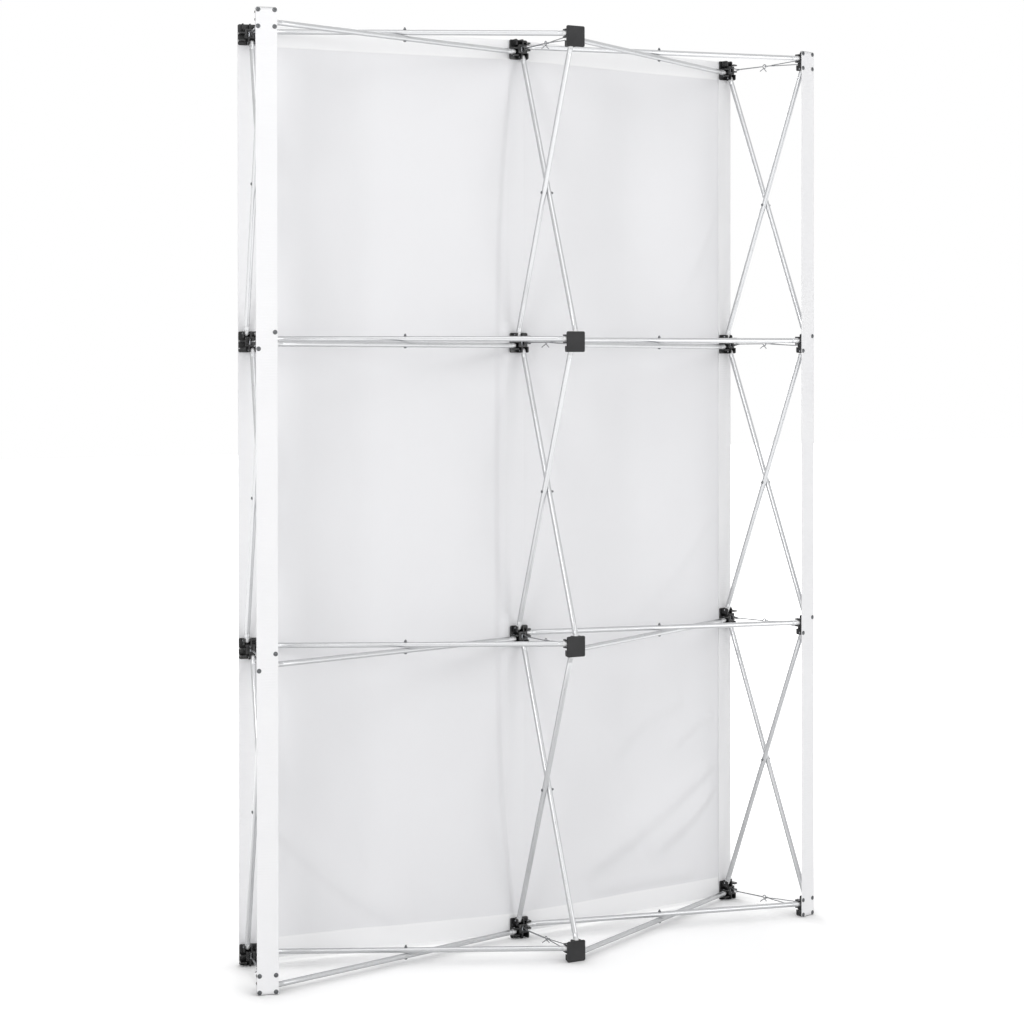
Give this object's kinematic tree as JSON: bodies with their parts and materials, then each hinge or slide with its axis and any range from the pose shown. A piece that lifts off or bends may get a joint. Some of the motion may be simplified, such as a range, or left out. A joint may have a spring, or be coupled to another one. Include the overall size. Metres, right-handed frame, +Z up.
{
  "type": "curved banner wall",
  "caption": "Free-standing curved display wall: a folding frame of crossed tubes and moulded hubs, with tape straps behind and one blank fabric banner on its front.",
  "frame": {"origin": "on the floor, in the middle of the wall's outer box", "axes": "+Z up; the banner faces -Y; +X to the right for someone who faces the banner"},
  "size_m": [1.5792, 0.3812, 2.255],
  "materials": {
    "hub_plastic": "moulded black nylon, satin; holds zinc-plated pins and a spring-steel lock arm",
    "tube_aluminium": "satin anodised drawn tube with die-cast end fittings",
    "strap_webbing": "white woven tape",
    "banner_cloth": "plain white polyester display cloth with hemmed edges"
  },
  "bodies": {
    "rear_hub_c1_r1": {"rear_hub_c1_r1": "hub_plastic"},
    "rear_hub_c1_r2": {"rear_hub_c1_r2": "hub_plastic"},
    "rear_hub_c1_r3": {"rear_hub_c1_r3": "hub_plastic"},
    "rear_hub_c1_r4": {"rear_hub_c1_r4": "hub_plastic"},
    "rear_hub_c2_r1": {"rear_hub_c2_r1": "hub_plastic"},
    "rear_hub_c2_r2": {"rear_hub_c2_r2": "hub_plastic"},
    "rear_hub_c2_r3": {"rear_hub_c2_r3": "hub_plastic"},
    "rear_hub_c2_r4": {"rear_hub_c2_r4": "hub_plastic"},
    "rear_hub_c3_r1": {"rear_hub_c3_r1": "hub_plastic"},
    "rear_hub_c3_r2": {"rear_hub_c3_r2": "hub_plastic"},
    "rear_hub_c3_r3": {"rear_hub_c3_r3": "hub_plastic"},
    "rear_hub_c3_r4": {"rear_hub_c3_r4": "hub_plastic"},
    "front_hub_c1_r1": {"front_hub_c1_r1": "hub_plastic"},
    "front_hub_c1_r2": {"front_hub_c1_r2": "hub_plastic"},
    "front_hub_c1_r3": {"front_hub_c1_r3": "hub_plastic"},
    "front_hub_c1_r4": {"front_hub_c1_r4": "hub_plastic"},
    "front_hub_c2_r1": {"front_hub_c2_r1": "hub_plastic", "banner": "banner_cloth", "straps": "strap_webbing"},
    "front_hub_c2_r2": {"front_hub_c2_r2": "hub_plastic"},
    "front_hub_c2_r3": {"front_hub_c2_r3": "hub_plastic"},
    "front_hub_c2_r4": {"front_hub_c2_r4": "hub_plastic"},
    "front_hub_c3_r1": {"front_hub_c3_r1": "hub_plastic"},
    "front_hub_c3_r2": {"front_hub_c3_r2": "hub_plastic"},
    "front_hub_c3_r3": {"front_hub_c3_r3": "hub_plastic"},
    "front_hub_c3_r4": {"front_hub_c3_r4": "hub_plastic"},
    "upright_tube_back_c1_r1": {"upright_tube_back_c1_r1": "tube_aluminium"},
    "upright_tube_back_c1_r2": {"upright_tube_back_c1_r2": "tube_aluminium"},
    "upright_tube_back_c1_r3": {"upright_tube_back_c1_r3": "tube_aluminium"},
    "upright_tube_back_c2_r1": {"upright_tube_back_c2_r1": "tube_aluminium"},
    "upright_tube_back_c2_r2": {"upright_tube_back_c2_r2": "tube_aluminium"},
    "upright_tube_back_c2_r3": {"upright_tube_back_c2_r3": "tube_aluminium"},
    "upright_tube_back_c3_r1": {"upright_tube_back_c3_r1": "tube_aluminium"},
    "upright_tube_back_c3_r2": {"upright_tube_back_c3_r2": "tube_aluminium"},
    "upright_tube_back_c3_r3": {"upright_tube_back_c3_r3": "tube_aluminium"},
    "upright_tube_front_c1_r1": {"upright_tube_front_c1_r1": "tube_aluminium"},
    "upright_tube_front_c1_r2": {"upright_tube_front_c1_r2": "tube_aluminium"},
    "upright_tube_front_c1_r3": {"upright_tube_front_c1_r3": "tube_aluminium"},
    "upright_tube_front_c2_r1": {"upright_tube_front_c2_r1": "tube_aluminium"},
    "upright_tube_front_c2_r2": {"upright_tube_front_c2_r2": "tube_aluminium"},
    "upright_tube_front_c2_r3": {"upright_tube_front_c2_r3": "tube_aluminium"},
    "upright_tube_front_c3_r1": {"upright_tube_front_c3_r1": "tube_aluminium"},
    "upright_tube_front_c3_r2": {"upright_tube_front_c3_r2": "tube_aluminium"},
    "upright_tube_front_c3_r3": {"upright_tube_front_c3_r3": "tube_aluminium"},
    "cross_tube_upper_c1_r1": {"cross_tube_upper_c1_r1": "tube_aluminium"},
    "cross_tube_upper_c1_r2": {"cross_tube_upper_c1_r2": "tube_aluminium"},
    "cross_tube_upper_c1_r3": {"cross_tube_upper_c1_r3": "tube_aluminium"},
    "cross_tube_upper_c1_r4": {"cross_tube_upper_c1_r4": "tube_aluminium"},
    "cross_tube_upper_c2_r1": {"cross_tube_upper_c2_r1": "tube_aluminium"},
    "cross_tube_upper_c2_r2": {"cross_tube_upper_c2_r2": "tube_aluminium"},
    "cross_tube_upper_c2_r3": {"cross_tube_upper_c2_r3": "tube_aluminium"},
    "cross_tube_upper_c2_r4": {"cross_tube_upper_c2_r4": "tube_aluminium"},
    "cross_tube_lower_c1_r1": {"cross_tube_lower_c1_r1": "tube_aluminium"},
    "cross_tube_lower_c1_r2": {"cross_tube_lower_c1_r2": "tube_aluminium"},
    "cross_tube_lower_c1_r3": {"cross_tube_lower_c1_r3": "tube_aluminium"},
    "cross_tube_lower_c1_r4": {"cross_tube_lower_c1_r4": "tube_aluminium"},
    "cross_tube_lower_c2_r1": {"cross_tube_lower_c2_r1": "tube_aluminium"},
    "cross_tube_lower_c2_r2": {"cross_tube_lower_c2_r2": "tube_aluminium"},
    "cross_tube_lower_c2_r3": {"cross_tube_lower_c2_r3": "tube_aluminium"},
    "cross_tube_lower_c2_r4": {"cross_tube_lower_c2_r4": "tube_aluminium"}
  },
  "joints": [
    {"name": "fold", "type": "hinge", "parent": "front_hub_c2_r1", "child": "upright_tube_back_c2_r1", "pos_m": [0.007, -0.07801, 0.045], "axis": [-1, 0, 0], "range_deg": [0, 66.78], "deforming": ["banner", "straps"]},
    {"name": "rear_hub_c2_r2_on_upright_tube_back_c2_r1", "type": "hinge", "parent": "upright_tube_back_c2_r1", "child": "rear_hub_c2_r2", "pos_m": [0.007, 0.17799, 0.74], "axis": [-1, 0, 0], "range_deg": [-66.8, 0]},
    {"name": "upright_tube_front_c2_r1_on_upright_tube_back_c2_r1", "type": "hinge", "parent": "upright_tube_back_c2_r1", "child": "upright_tube_front_c2_r1", "pos_m": [0, 0.04999, 0.3925], "axis": [-1, 0, 0], "range_deg": [-133.58, 0]},
    {"name": "rear_hub_c2_r1_on_upright_tube_front_c2_r1", "type": "hinge", "parent": "upright_tube_front_c2_r1", "child": "rear_hub_c2_r1", "pos_m": [-0.007, 0.17799, 0.045], "axis": [-1, 0, 0], "range_deg": [0, 66.8]},
    {"name": "front_hub_c2_r2_on_upright_tube_front_c2_r1", "type": "hinge", "parent": "upright_tube_front_c2_r1", "child": "front_hub_c2_r2", "pos_m": [-0.007, -0.07801, 0.74], "axis": [-1, 0, 0], "range_deg": [0, 66.8]},
    {"name": "upright_tube_back_c2_r2_on_front_hub_c2_r2", "type": "hinge", "parent": "front_hub_c2_r2", "child": "upright_tube_back_c2_r2", "pos_m": [0.007, -0.07801, 0.78], "axis": [-1, 0, 0], "range_deg": [0, 66.8]},
    {"name": "rear_hub_c2_r3_on_upright_tube_back_c2_r2", "type": "hinge", "parent": "upright_tube_back_c2_r2", "child": "rear_hub_c2_r3", "pos_m": [0.007, 0.17799, 1.475], "axis": [-1, 0, 0], "range_deg": [-66.8, 0]},
    {"name": "upright_tube_front_c2_r3_on_rear_hub_c2_r3", "type": "hinge", "parent": "rear_hub_c2_r3", "child": "upright_tube_front_c2_r3", "pos_m": [-0.007, 0.17799, 1.515], "axis": [-1, 0, 0], "range_deg": [-66.8, 0]},
    {"name": "front_hub_c2_r4_on_upright_tube_front_c2_r3", "type": "hinge", "parent": "upright_tube_front_c2_r3", "child": "front_hub_c2_r4", "pos_m": [-0.007, -0.07801, 2.21], "axis": [-1, 0, 0], "range_deg": [0, 66.8]},
    {"name": "upright_tube_front_c2_r2_on_rear_hub_c2_r2", "type": "hinge", "parent": "rear_hub_c2_r2", "child": "upright_tube_front_c2_r2", "pos_m": [-0.007, 0.17799, 0.78], "axis": [-1, 0, 0], "range_deg": [-66.8, 0]},
    {"name": "front_hub_c2_r3_on_upright_tube_front_c2_r2", "type": "hinge", "parent": "upright_tube_front_c2_r2", "child": "front_hub_c2_r3", "pos_m": [-0.007, -0.07801, 1.475], "axis": [-1, 0, 0], "range_deg": [0, 66.8]},
    {"name": "upright_tube_back_c2_r3_on_front_hub_c2_r3", "type": "hinge", "parent": "front_hub_c2_r3", "child": "upright_tube_back_c2_r3", "pos_m": [0.007, -0.07801, 1.515], "axis": [-1, 0, 0], "range_deg": [0, 66.8]},
    {"name": "rear_hub_c2_r4_on_upright_tube_back_c2_r3", "type": "hinge", "parent": "upright_tube_back_c2_r3", "child": "rear_hub_c2_r4", "pos_m": [0.007, 0.17799, 2.21], "axis": [-1, 0, 0], "range_deg": [-66.8, 0]},
    {"name": "cross_tube_upper_c1_r1_on_front_hub_c2_r1", "type": "hinge", "parent": "front_hub_c2_r1", "child": "cross_tube_upper_c1_r1", "pos_m": [-0.02, -0.07801, 0.032], "axis": [0, 0, -1], "range_deg": [0, 74.18]},
    {"name": "cross_tube_lower_c2_r1_on_front_hub_c2_r1", "type": "hinge", "parent": "front_hub_c2_r1", "child": "cross_tube_lower_c2_r1", "pos_m": [0.02, -0.07801, 0.018], "axis": [0, 0, 1], "range_deg": [0, 74.18]},
    {"name": "cross_tube_lower_c1_r1_on_rear_hub_c2_r1", "type": "hinge", "parent": "rear_hub_c2_r1", "child": "cross_tube_lower_c1_r1", "pos_m": [-0.02, 0.17799, 0.018], "axis": [0, 0, 1], "range_deg": [0, 59.76]},
    {"name": "cross_tube_upper_c2_r1_on_rear_hub_c2_r1", "type": "hinge", "parent": "rear_hub_c2_r1", "child": "cross_tube_upper_c2_r1", "pos_m": [0.02, 0.17799, 0.032], "axis": [0, 0, -1], "range_deg": [0, 59.76]},
    {"name": "cross_tube_upper_c1_r2_on_front_hub_c2_r2", "type": "hinge", "parent": "front_hub_c2_r2", "child": "cross_tube_upper_c1_r2", "pos_m": [-0.02, -0.07801, 0.767], "axis": [0, 0, -1], "range_deg": [0, 74.18]},
    {"name": "cross_tube_lower_c2_r2_on_front_hub_c2_r2", "type": "hinge", "parent": "front_hub_c2_r2", "child": "cross_tube_lower_c2_r2", "pos_m": [0.02, -0.07801, 0.753], "axis": [0, 0, 1], "range_deg": [0, 74.18]},
    {"name": "cross_tube_lower_c1_r2_on_rear_hub_c2_r2", "type": "hinge", "parent": "rear_hub_c2_r2", "child": "cross_tube_lower_c1_r2", "pos_m": [-0.02, 0.17799, 0.753], "axis": [0, 0, 1], "range_deg": [0, 59.76]},
    {"name": "cross_tube_upper_c2_r2_on_rear_hub_c2_r2", "type": "hinge", "parent": "rear_hub_c2_r2", "child": "cross_tube_upper_c2_r2", "pos_m": [0.02, 0.17799, 0.767], "axis": [0, 0, -1], "range_deg": [0, 59.76]},
    {"name": "cross_tube_upper_c1_r3_on_front_hub_c2_r3", "type": "hinge", "parent": "front_hub_c2_r3", "child": "cross_tube_upper_c1_r3", "pos_m": [-0.02, -0.07801, 1.502], "axis": [0, 0, -1], "range_deg": [0, 74.18]},
    {"name": "cross_tube_lower_c2_r3_on_front_hub_c2_r3", "type": "hinge", "parent": "front_hub_c2_r3", "child": "cross_tube_lower_c2_r3", "pos_m": [0.02, -0.07801, 1.488], "axis": [0, 0, 1], "range_deg": [0, 74.18]},
    {"name": "cross_tube_lower_c1_r3_on_rear_hub_c2_r3", "type": "hinge", "parent": "rear_hub_c2_r3", "child": "cross_tube_lower_c1_r3", "pos_m": [-0.02, 0.17799, 1.488], "axis": [0, 0, 1], "range_deg": [0, 59.76]},
    {"name": "cross_tube_upper_c2_r3_on_rear_hub_c2_r3", "type": "hinge", "parent": "rear_hub_c2_r3", "child": "cross_tube_upper_c2_r3", "pos_m": [0.02, 0.17799, 1.502], "axis": [0, 0, -1], "range_deg": [0, 59.76]},
    {"name": "cross_tube_upper_c1_r4_on_front_hub_c2_r4", "type": "hinge", "parent": "front_hub_c2_r4", "child": "cross_tube_upper_c1_r4", "pos_m": [-0.02, -0.07801, 2.237], "axis": [0, 0, -1], "range_deg": [0, 74.18]},
    {"name": "cross_tube_lower_c2_r4_on_front_hub_c2_r4", "type": "hinge", "parent": "front_hub_c2_r4", "child": "cross_tube_lower_c2_r4", "pos_m": [0.02, -0.07801, 2.223], "axis": [0, 0, 1], "range_deg": [0, 74.18]},
    {"name": "cross_tube_lower_c1_r4_on_rear_hub_c2_r4", "type": "hinge", "parent": "rear_hub_c2_r4", "child": "cross_tube_lower_c1_r4", "pos_m": [-0.02, 0.17799, 2.223], "axis": [0, 0, 1], "range_deg": [0, 59.76]},
    {"name": "cross_tube_upper_c2_r4_on_rear_hub_c2_r4", "type": "hinge", "parent": "rear_hub_c2_r4", "child": "cross_tube_upper_c2_r4", "pos_m": [0.02, 0.17799, 2.237], "axis": [0, 0, -1], "range_deg": [0, 59.76]},
    {"name": "rear_hub_c1_r1_on_cross_tube_upper_c1_r1", "type": "hinge", "parent": "cross_tube_upper_c1_r1", "child": "rear_hub_c1_r1", "pos_m": [-0.74253, 0.08479, 0.032], "axis": [0, 0, -1], "range_deg": [-59.76, 0]},
    {"name": "rear_hub_c3_r1_on_cross_tube_lower_c2_r1", "type": "hinge", "parent": "cross_tube_lower_c2_r1", "child": "rear_hub_c3_r1", "pos_m": [0.74253, 0.08479, 0.018], "axis": [0, 0, 1], "range_deg": [-59.76, 0]},
    {"name": "rear_hub_c1_r2_on_cross_tube_upper_c1_r2", "type": "hinge", "parent": "cross_tube_upper_c1_r2", "child": "rear_hub_c1_r2", "pos_m": [-0.74253, 0.08479, 0.767], "axis": [0, 0, -1], "range_deg": [-59.76, 0]},
    {"name": "rear_hub_c3_r2_on_cross_tube_lower_c2_r2", "type": "hinge", "parent": "cross_tube_lower_c2_r2", "child": "rear_hub_c3_r2", "pos_m": [0.74253, 0.08479, 0.753], "axis": [0, 0, 1], "range_deg": [-59.76, 0]},
    {"name": "rear_hub_c1_r3_on_cross_tube_upper_c1_r3", "type": "hinge", "parent": "cross_tube_upper_c1_r3", "child": "rear_hub_c1_r3", "pos_m": [-0.74253, 0.08479, 1.502], "axis": [0, 0, -1], "range_deg": [-59.76, 0]},
    {"name": "rear_hub_c3_r3_on_cross_tube_lower_c2_r3", "type": "hinge", "parent": "cross_tube_lower_c2_r3", "child": "rear_hub_c3_r3", "pos_m": [0.74253, 0.08479, 1.488], "axis": [0, 0, 1], "range_deg": [-59.76, 0]},
    {"name": "rear_hub_c1_r4_on_cross_tube_upper_c1_r4", "type": "hinge", "parent": "cross_tube_upper_c1_r4", "child": "rear_hub_c1_r4", "pos_m": [-0.74253, 0.08479, 2.237], "axis": [0, 0, -1], "range_deg": [-59.76, 0]},
    {"name": "rear_hub_c3_r4_on_cross_tube_lower_c2_r4", "type": "hinge", "parent": "cross_tube_lower_c2_r4", "child": "rear_hub_c3_r4", "pos_m": [0.74253, 0.08479, 2.223], "axis": [0, 0, 1], "range_deg": [-59.76, 0]},
    {"name": "upright_tube_front_c1_r1_on_rear_hub_c1_r1", "type": "hinge", "parent": "rear_hub_c1_r1", "child": "upright_tube_front_c1_r1", "pos_m": [-0.76865, 0.07794, 0.045], "axis": [-0.9673, -0.2538, 0], "range_deg": [-66.8, 0]},
    {"name": "front_hub_c1_r2_on_upright_tube_front_c1_r1", "type": "hinge", "parent": "upright_tube_front_c1_r1", "child": "front_hub_c1_r2", "pos_m": [-0.70369, -0.16968, 0.74], "axis": [-0.9673, -0.2538, 0], "range_deg": [0, 66.8]},
    {"name": "upright_tube_back_c1_r1_on_rear_hub_c1_r2", "type": "hinge", "parent": "rear_hub_c1_r2", "child": "upright_tube_back_c1_r1", "pos_m": [-0.75511, 0.08149, 0.74], "axis": [-0.9673, -0.2538, 0], "range_deg": [0, 66.8]},
    {"name": "upright_tube_front_c1_r2_on_rear_hub_c1_r2", "type": "hinge", "parent": "rear_hub_c1_r2", "child": "upright_tube_front_c1_r2", "pos_m": [-0.76865, 0.07794, 0.78], "axis": [-0.9673, -0.2538, 0], "range_deg": [-66.8, 0]},
    {"name": "front_hub_c1_r3_on_upright_tube_front_c1_r2", "type": "hinge", "parent": "upright_tube_front_c1_r2", "child": "front_hub_c1_r3", "pos_m": [-0.70369, -0.16968, 1.475], "axis": [-0.9673, -0.2538, 0], "range_deg": [0, 66.8]},
    {"name": "upright_tube_back_c1_r2_on_rear_hub_c1_r3", "type": "hinge", "parent": "rear_hub_c1_r3", "child": "upright_tube_back_c1_r2", "pos_m": [-0.75511, 0.08149, 1.475], "axis": [-0.9673, -0.2538, 0], "range_deg": [0, 66.8]},
    {"name": "upright_tube_front_c1_r3_on_rear_hub_c1_r3", "type": "hinge", "parent": "rear_hub_c1_r3", "child": "upright_tube_front_c1_r3", "pos_m": [-0.76865, 0.07794, 1.515], "axis": [-0.9673, -0.2538, 0], "range_deg": [-66.8, 0]},
    {"name": "front_hub_c1_r4_on_upright_tube_front_c1_r3", "type": "hinge", "parent": "upright_tube_front_c1_r3", "child": "front_hub_c1_r4", "pos_m": [-0.70369, -0.16968, 2.21], "axis": [-0.9673, -0.2538, 0], "range_deg": [0, 66.8]},
    {"name": "upright_tube_back_c1_r3_on_rear_hub_c1_r4", "type": "hinge", "parent": "rear_hub_c1_r4", "child": "upright_tube_back_c1_r3", "pos_m": [-0.75511, 0.08149, 2.21], "axis": [-0.9673, -0.2538, 0], "range_deg": [0, 66.8]},
    {"name": "front_hub_c1_r1_on_upright_tube_back_c1_r1", "type": "hinge", "parent": "upright_tube_back_c1_r1", "child": "front_hub_c1_r1", "pos_m": [-0.69015, -0.16613, 0.045], "axis": [-0.9673, -0.2538, 0], "range_deg": [-66.8, 0]},
    {"name": "upright_tube_front_c3_r1_on_rear_hub_c3_r1", "type": "hinge", "parent": "rear_hub_c3_r1", "child": "upright_tube_front_c3_r1", "pos_m": [0.75511, 0.08149, 0.045], "axis": [-0.9673, 0.2538, 0], "range_deg": [-66.8, 0]},
    {"name": "front_hub_c3_r2_on_upright_tube_front_c3_r1", "type": "hinge", "parent": "upright_tube_front_c3_r1", "child": "front_hub_c3_r2", "pos_m": [0.69015, -0.16613, 0.74], "axis": [-0.9673, 0.2538, 0], "range_deg": [0, 66.8]},
    {"name": "upright_tube_back_c3_r1_on_rear_hub_c3_r2", "type": "hinge", "parent": "rear_hub_c3_r2", "child": "upright_tube_back_c3_r1", "pos_m": [0.76865, 0.07794, 0.74], "axis": [-0.9673, 0.2538, 0], "range_deg": [0, 66.8]},
    {"name": "upright_tube_front_c3_r2_on_rear_hub_c3_r2", "type": "hinge", "parent": "rear_hub_c3_r2", "child": "upright_tube_front_c3_r2", "pos_m": [0.75511, 0.08149, 0.78], "axis": [-0.9673, 0.2538, 0], "range_deg": [-66.8, 0]},
    {"name": "front_hub_c3_r3_on_upright_tube_front_c3_r2", "type": "hinge", "parent": "upright_tube_front_c3_r2", "child": "front_hub_c3_r3", "pos_m": [0.69015, -0.16613, 1.475], "axis": [-0.9673, 0.2538, 0], "range_deg": [0, 66.8]},
    {"name": "upright_tube_back_c3_r2_on_rear_hub_c3_r3", "type": "hinge", "parent": "rear_hub_c3_r3", "child": "upright_tube_back_c3_r2", "pos_m": [0.76865, 0.07794, 1.475], "axis": [-0.9673, 0.2538, 0], "range_deg": [0, 66.8]},
    {"name": "upright_tube_front_c3_r3_on_rear_hub_c3_r3", "type": "hinge", "parent": "rear_hub_c3_r3", "child": "upright_tube_front_c3_r3", "pos_m": [0.75511, 0.08149, 1.515], "axis": [-0.9673, 0.2538, 0], "range_deg": [-66.8, 0]},
    {"name": "front_hub_c3_r4_on_upright_tube_front_c3_r3", "type": "hinge", "parent": "upright_tube_front_c3_r3", "child": "front_hub_c3_r4", "pos_m": [0.69015, -0.16613, 2.21], "axis": [-0.9673, 0.2538, 0], "range_deg": [0, 66.8]},
    {"name": "upright_tube_back_c3_r3_on_rear_hub_c3_r4", "type": "hinge", "parent": "rear_hub_c3_r4", "child": "upright_tube_back_c3_r3", "pos_m": [0.76865, 0.07794, 2.21], "axis": [-0.9673, 0.2538, 0], "range_deg": [0, 66.8]},
    {"name": "front_hub_c3_r1_on_upright_tube_back_c3_r1", "type": "hinge", "parent": "upright_tube_back_c3_r1", "child": "front_hub_c3_r1", "pos_m": [0.70369, -0.16968, 0.045], "axis": [-0.9673, 0.2538, 0], "range_deg": [-66.8, 0]}
  ],
  "couplings": [
    {"joint": "rear_hub_c2_r2_on_upright_tube_back_c2_r1", "follows": "fold", "ratio": -1},
    {"joint": "upright_tube_front_c2_r1_on_upright_tube_back_c2_r1", "follows": "fold", "ratio": -2},
    {"joint": "rear_hub_c2_r1_on_upright_tube_front_c2_r1", "follows": "fold", "ratio": 1},
    {"joint": "front_hub_c2_r2_on_upright_tube_front_c2_r1", "follows": "fold", "ratio": 1},
    {"joint": "upright_tube_back_c2_r2_on_front_hub_c2_r2", "follows": "fold", "ratio": 1},
    {"joint": "rear_hub_c2_r3_on_upright_tube_back_c2_r2", "follows": "fold", "ratio": -1},
    {"joint": "upright_tube_front_c2_r3_on_rear_hub_c2_r3", "follows": "fold", "ratio": -1},
    {"joint": "front_hub_c2_r4_on_upright_tube_front_c2_r3", "follows": "fold", "ratio": 1},
    {"joint": "upright_tube_front_c2_r2_on_rear_hub_c2_r2", "follows": "fold", "ratio": -1},
    {"joint": "front_hub_c2_r3_on_upright_tube_front_c2_r2", "follows": "fold", "ratio": 1},
    {"joint": "upright_tube_back_c2_r3_on_front_hub_c2_r3", "follows": "fold", "ratio": 1},
    {"joint": "rear_hub_c2_r4_on_upright_tube_back_c2_r3", "follows": "fold", "ratio": -1},
    {"joint": "cross_tube_upper_c1_r1_on_front_hub_c2_r1", "follows": "fold", "ratio": 1.1105},
    {"joint": "cross_tube_lower_c2_r1_on_front_hub_c2_r1", "follows": "fold", "ratio": 1.1105},
    {"joint": "cross_tube_lower_c1_r1_on_rear_hub_c2_r1", "follows": "fold", "ratio": 0.8946},
    {"joint": "cross_tube_upper_c2_r1_on_rear_hub_c2_r1", "follows": "fold", "ratio": 0.8946},
    {"joint": "cross_tube_upper_c1_r2_on_front_hub_c2_r2", "follows": "fold", "ratio": 1.1105},
    {"joint": "cross_tube_lower_c2_r2_on_front_hub_c2_r2", "follows": "fold", "ratio": 1.1105},
    {"joint": "cross_tube_lower_c1_r2_on_rear_hub_c2_r2", "follows": "fold", "ratio": 0.8946},
    {"joint": "cross_tube_upper_c2_r2_on_rear_hub_c2_r2", "follows": "fold", "ratio": 0.8946},
    {"joint": "cross_tube_upper_c1_r3_on_front_hub_c2_r3", "follows": "fold", "ratio": 1.1105},
    {"joint": "cross_tube_lower_c2_r3_on_front_hub_c2_r3", "follows": "fold", "ratio": 1.1105},
    {"joint": "cross_tube_lower_c1_r3_on_rear_hub_c2_r3", "follows": "fold", "ratio": 0.8946},
    {"joint": "cross_tube_upper_c2_r3_on_rear_hub_c2_r3", "follows": "fold", "ratio": 0.8946},
    {"joint": "cross_tube_upper_c1_r4_on_front_hub_c2_r4", "follows": "fold", "ratio": 1.1105},
    {"joint": "cross_tube_lower_c2_r4_on_front_hub_c2_r4", "follows": "fold", "ratio": 1.1105},
    {"joint": "cross_tube_lower_c1_r4_on_rear_hub_c2_r4", "follows": "fold", "ratio": 0.8946},
    {"joint": "cross_tube_upper_c2_r4_on_rear_hub_c2_r4", "follows": "fold", "ratio": 0.8946},
    {"joint": "rear_hub_c1_r1_on_cross_tube_upper_c1_r1", "follows": "fold", "ratio": -0.8946},
    {"joint": "rear_hub_c3_r1_on_cross_tube_lower_c2_r1", "follows": "fold", "ratio": -0.8946},
    {"joint": "rear_hub_c1_r2_on_cross_tube_upper_c1_r2", "follows": "fold", "ratio": -0.8946},
    {"joint": "rear_hub_c3_r2_on_cross_tube_lower_c2_r2", "follows": "fold", "ratio": -0.8946},
    {"joint": "rear_hub_c1_r3_on_cross_tube_upper_c1_r3", "follows": "fold", "ratio": -0.8946},
    {"joint": "rear_hub_c3_r3_on_cross_tube_lower_c2_r3", "follows": "fold", "ratio": -0.8946},
    {"joint": "rear_hub_c1_r4_on_cross_tube_upper_c1_r4", "follows": "fold", "ratio": -0.8946},
    {"joint": "rear_hub_c3_r4_on_cross_tube_lower_c2_r4", "follows": "fold", "ratio": -0.8946},
    {"joint": "upright_tube_front_c1_r1_on_rear_hub_c1_r1", "follows": "fold", "ratio": -1},
    {"joint": "front_hub_c1_r2_on_upright_tube_front_c1_r1", "follows": "fold", "ratio": 1},
    {"joint": "upright_tube_back_c1_r1_on_rear_hub_c1_r2", "follows": "fold", "ratio": 1},
    {"joint": "upright_tube_front_c1_r2_on_rear_hub_c1_r2", "follows": "fold", "ratio": -1},
    {"joint": "front_hub_c1_r3_on_upright_tube_front_c1_r2", "follows": "fold", "ratio": 1},
    {"joint": "upright_tube_back_c1_r2_on_rear_hub_c1_r3", "follows": "fold", "ratio": 1},
    {"joint": "upright_tube_front_c1_r3_on_rear_hub_c1_r3", "follows": "fold", "ratio": -1},
    {"joint": "front_hub_c1_r4_on_upright_tube_front_c1_r3", "follows": "fold", "ratio": 1},
    {"joint": "upright_tube_back_c1_r3_on_rear_hub_c1_r4", "follows": "fold", "ratio": 1},
    {"joint": "front_hub_c1_r1_on_upright_tube_back_c1_r1", "follows": "fold", "ratio": -1},
    {"joint": "upright_tube_front_c3_r1_on_rear_hub_c3_r1", "follows": "fold", "ratio": -1},
    {"joint": "front_hub_c3_r2_on_upright_tube_front_c3_r1", "follows": "fold", "ratio": 1},
    {"joint": "upright_tube_back_c3_r1_on_rear_hub_c3_r2", "follows": "fold", "ratio": 1},
    {"joint": "upright_tube_front_c3_r2_on_rear_hub_c3_r2", "follows": "fold", "ratio": -1},
    {"joint": "front_hub_c3_r3_on_upright_tube_front_c3_r2", "follows": "fold", "ratio": 1},
    {"joint": "upright_tube_back_c3_r2_on_rear_hub_c3_r3", "follows": "fold", "ratio": 1},
    {"joint": "upright_tube_front_c3_r3_on_rear_hub_c3_r3", "follows": "fold", "ratio": -1},
    {"joint": "front_hub_c3_r4_on_upright_tube_front_c3_r3", "follows": "fold", "ratio": 1},
    {"joint": "upright_tube_back_c3_r3_on_rear_hub_c3_r4", "follows": "fold", "ratio": 1},
    {"joint": "front_hub_c3_r1_on_upright_tube_back_c3_r1", "follows": "fold", "ratio": -1}
  ]
}
